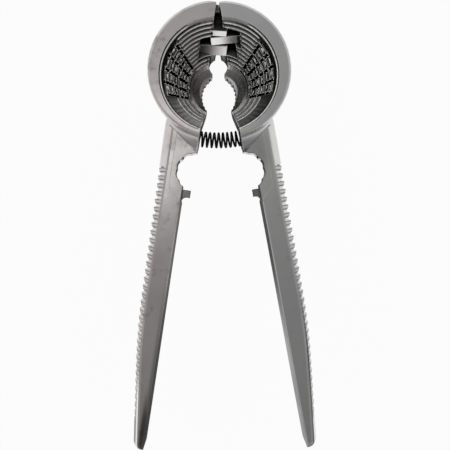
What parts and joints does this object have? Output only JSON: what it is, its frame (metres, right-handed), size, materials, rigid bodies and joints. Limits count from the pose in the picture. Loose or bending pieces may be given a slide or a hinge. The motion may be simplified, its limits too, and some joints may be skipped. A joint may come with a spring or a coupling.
{
  "type": "funnel nutcracker",
  "caption": "Hand nutcracker with a split ringed funnel, a second scalloped jaw and ribbed handles, hinged at the head and sprung open.",
  "frame": {"origin": "on the plane of the funnel's foot, below the middle of the overall outline", "axes": "+Z out of the funnel's mouth, +Y from the handles' tips towards the hinge, +X towards the right arm"},
  "size_m": [0.0788, 0.1881, 0.043],
  "materials": {
    "left_casting": "satin die-cast, slightly warm",
    "right_casting": "satin die-cast",
    "rivet_steel": "plain, upset at both ends",
    "spring_steel": "dark drawn wire"
  },
  "bodies": {
    "right_arm": {"right_arm": "right_casting", "hinge_pin": "rivet_steel", "return_spring": "spring_steel"},
    "left_arm": {"left_arm": "left_casting"}
  },
  "joints": [
    {"name": "closing", "type": "hinge", "parent": "right_arm", "child": "left_arm", "pos_m": [0, 0.088, 0.0215], "axis": [0, 0, 1], "range_deg": [0, 19.2], "stiffness_Nm_per_rad": 1.2, "springref_deg": -20.05, "deforming": ["return_spring"]}
  ]
}
